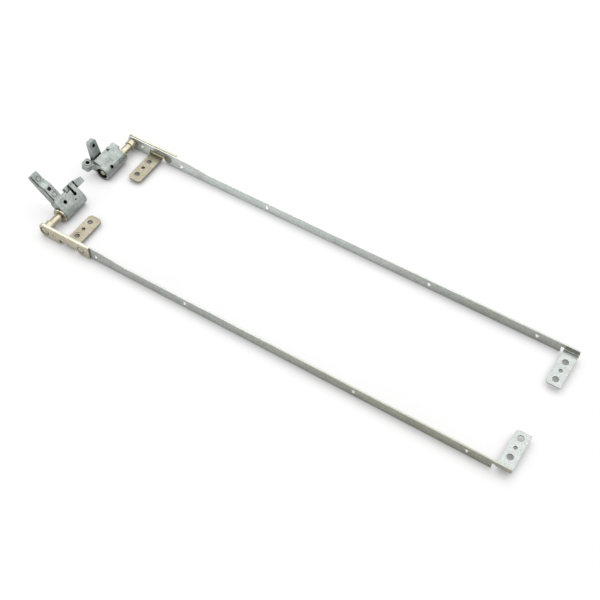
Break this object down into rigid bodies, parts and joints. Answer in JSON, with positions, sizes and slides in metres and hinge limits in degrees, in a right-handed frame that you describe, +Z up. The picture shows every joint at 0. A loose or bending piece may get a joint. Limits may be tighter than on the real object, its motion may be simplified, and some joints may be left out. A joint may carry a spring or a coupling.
{
  "type": "laptop hinge pair",
  "caption": "Pair of laptop screen hinges: long thin rails on edge with fold-over screw tabs, each riveted to a friction shaft that turns in a cast housing.",
  "frame": {"origin": "on the table, midway between the two hinges and midway along their length", "axes": "+X along the rails from the shafts to the end tabs, +Y from the right hinge to the left hinge, +Z up from the table"},
  "size_m": [0.2294, 0.0622, 0.0185],
  "materials": {
    "zinc_rail": "zinc-plated steel sheet, fine dull grain",
    "gold_bracket": "yellow chromate plated steel sheet, satin",
    "gold_shaft": "turned steel, yellow plated, bright",
    "spring_steel": "oiled spring steel",
    "zinc_casting": "raw zinc die casting, slightly rough"
  },
  "bodies": {
    "lid_side": {"right_rail": "zinc_rail", "right_bracket": "gold_bracket", "right_rivet": "gold_bracket", "right_shaft": "gold_shaft", "right_washer": "spring_steel", "left_rail": "zinc_rail", "left_bracket": "gold_bracket", "left_rivet": "gold_bracket", "left_shaft": "gold_shaft", "left_washer": "spring_steel"},
    "right_base_side": {"right_housing": "zinc_casting", "right_clip_1": "spring_steel", "right_clip_2": "spring_steel", "right_clip_3": "spring_steel", "right_clip_4": "spring_steel"},
    "left_base_side": {"left_housing": "zinc_casting", "left_clip_1": "spring_steel", "left_clip_2": "spring_steel", "left_clip_3": "spring_steel", "left_clip_4": "spring_steel"}
  },
  "joints": [
    {"name": "right_hinge", "type": "hinge", "parent": "lid_side", "child": "right_base_side", "pos_m": [-0.09925, -0.01395, 0.0035], "axis": [0, 1, 0], "range_deg": [-35, 100]},
    {"name": "left_hinge", "type": "hinge", "parent": "lid_side", "child": "left_base_side", "pos_m": [-0.09925, 0.01395, 0.0035], "axis": [0, 1, 0], "range_deg": [-45, 90]}
  ]
}
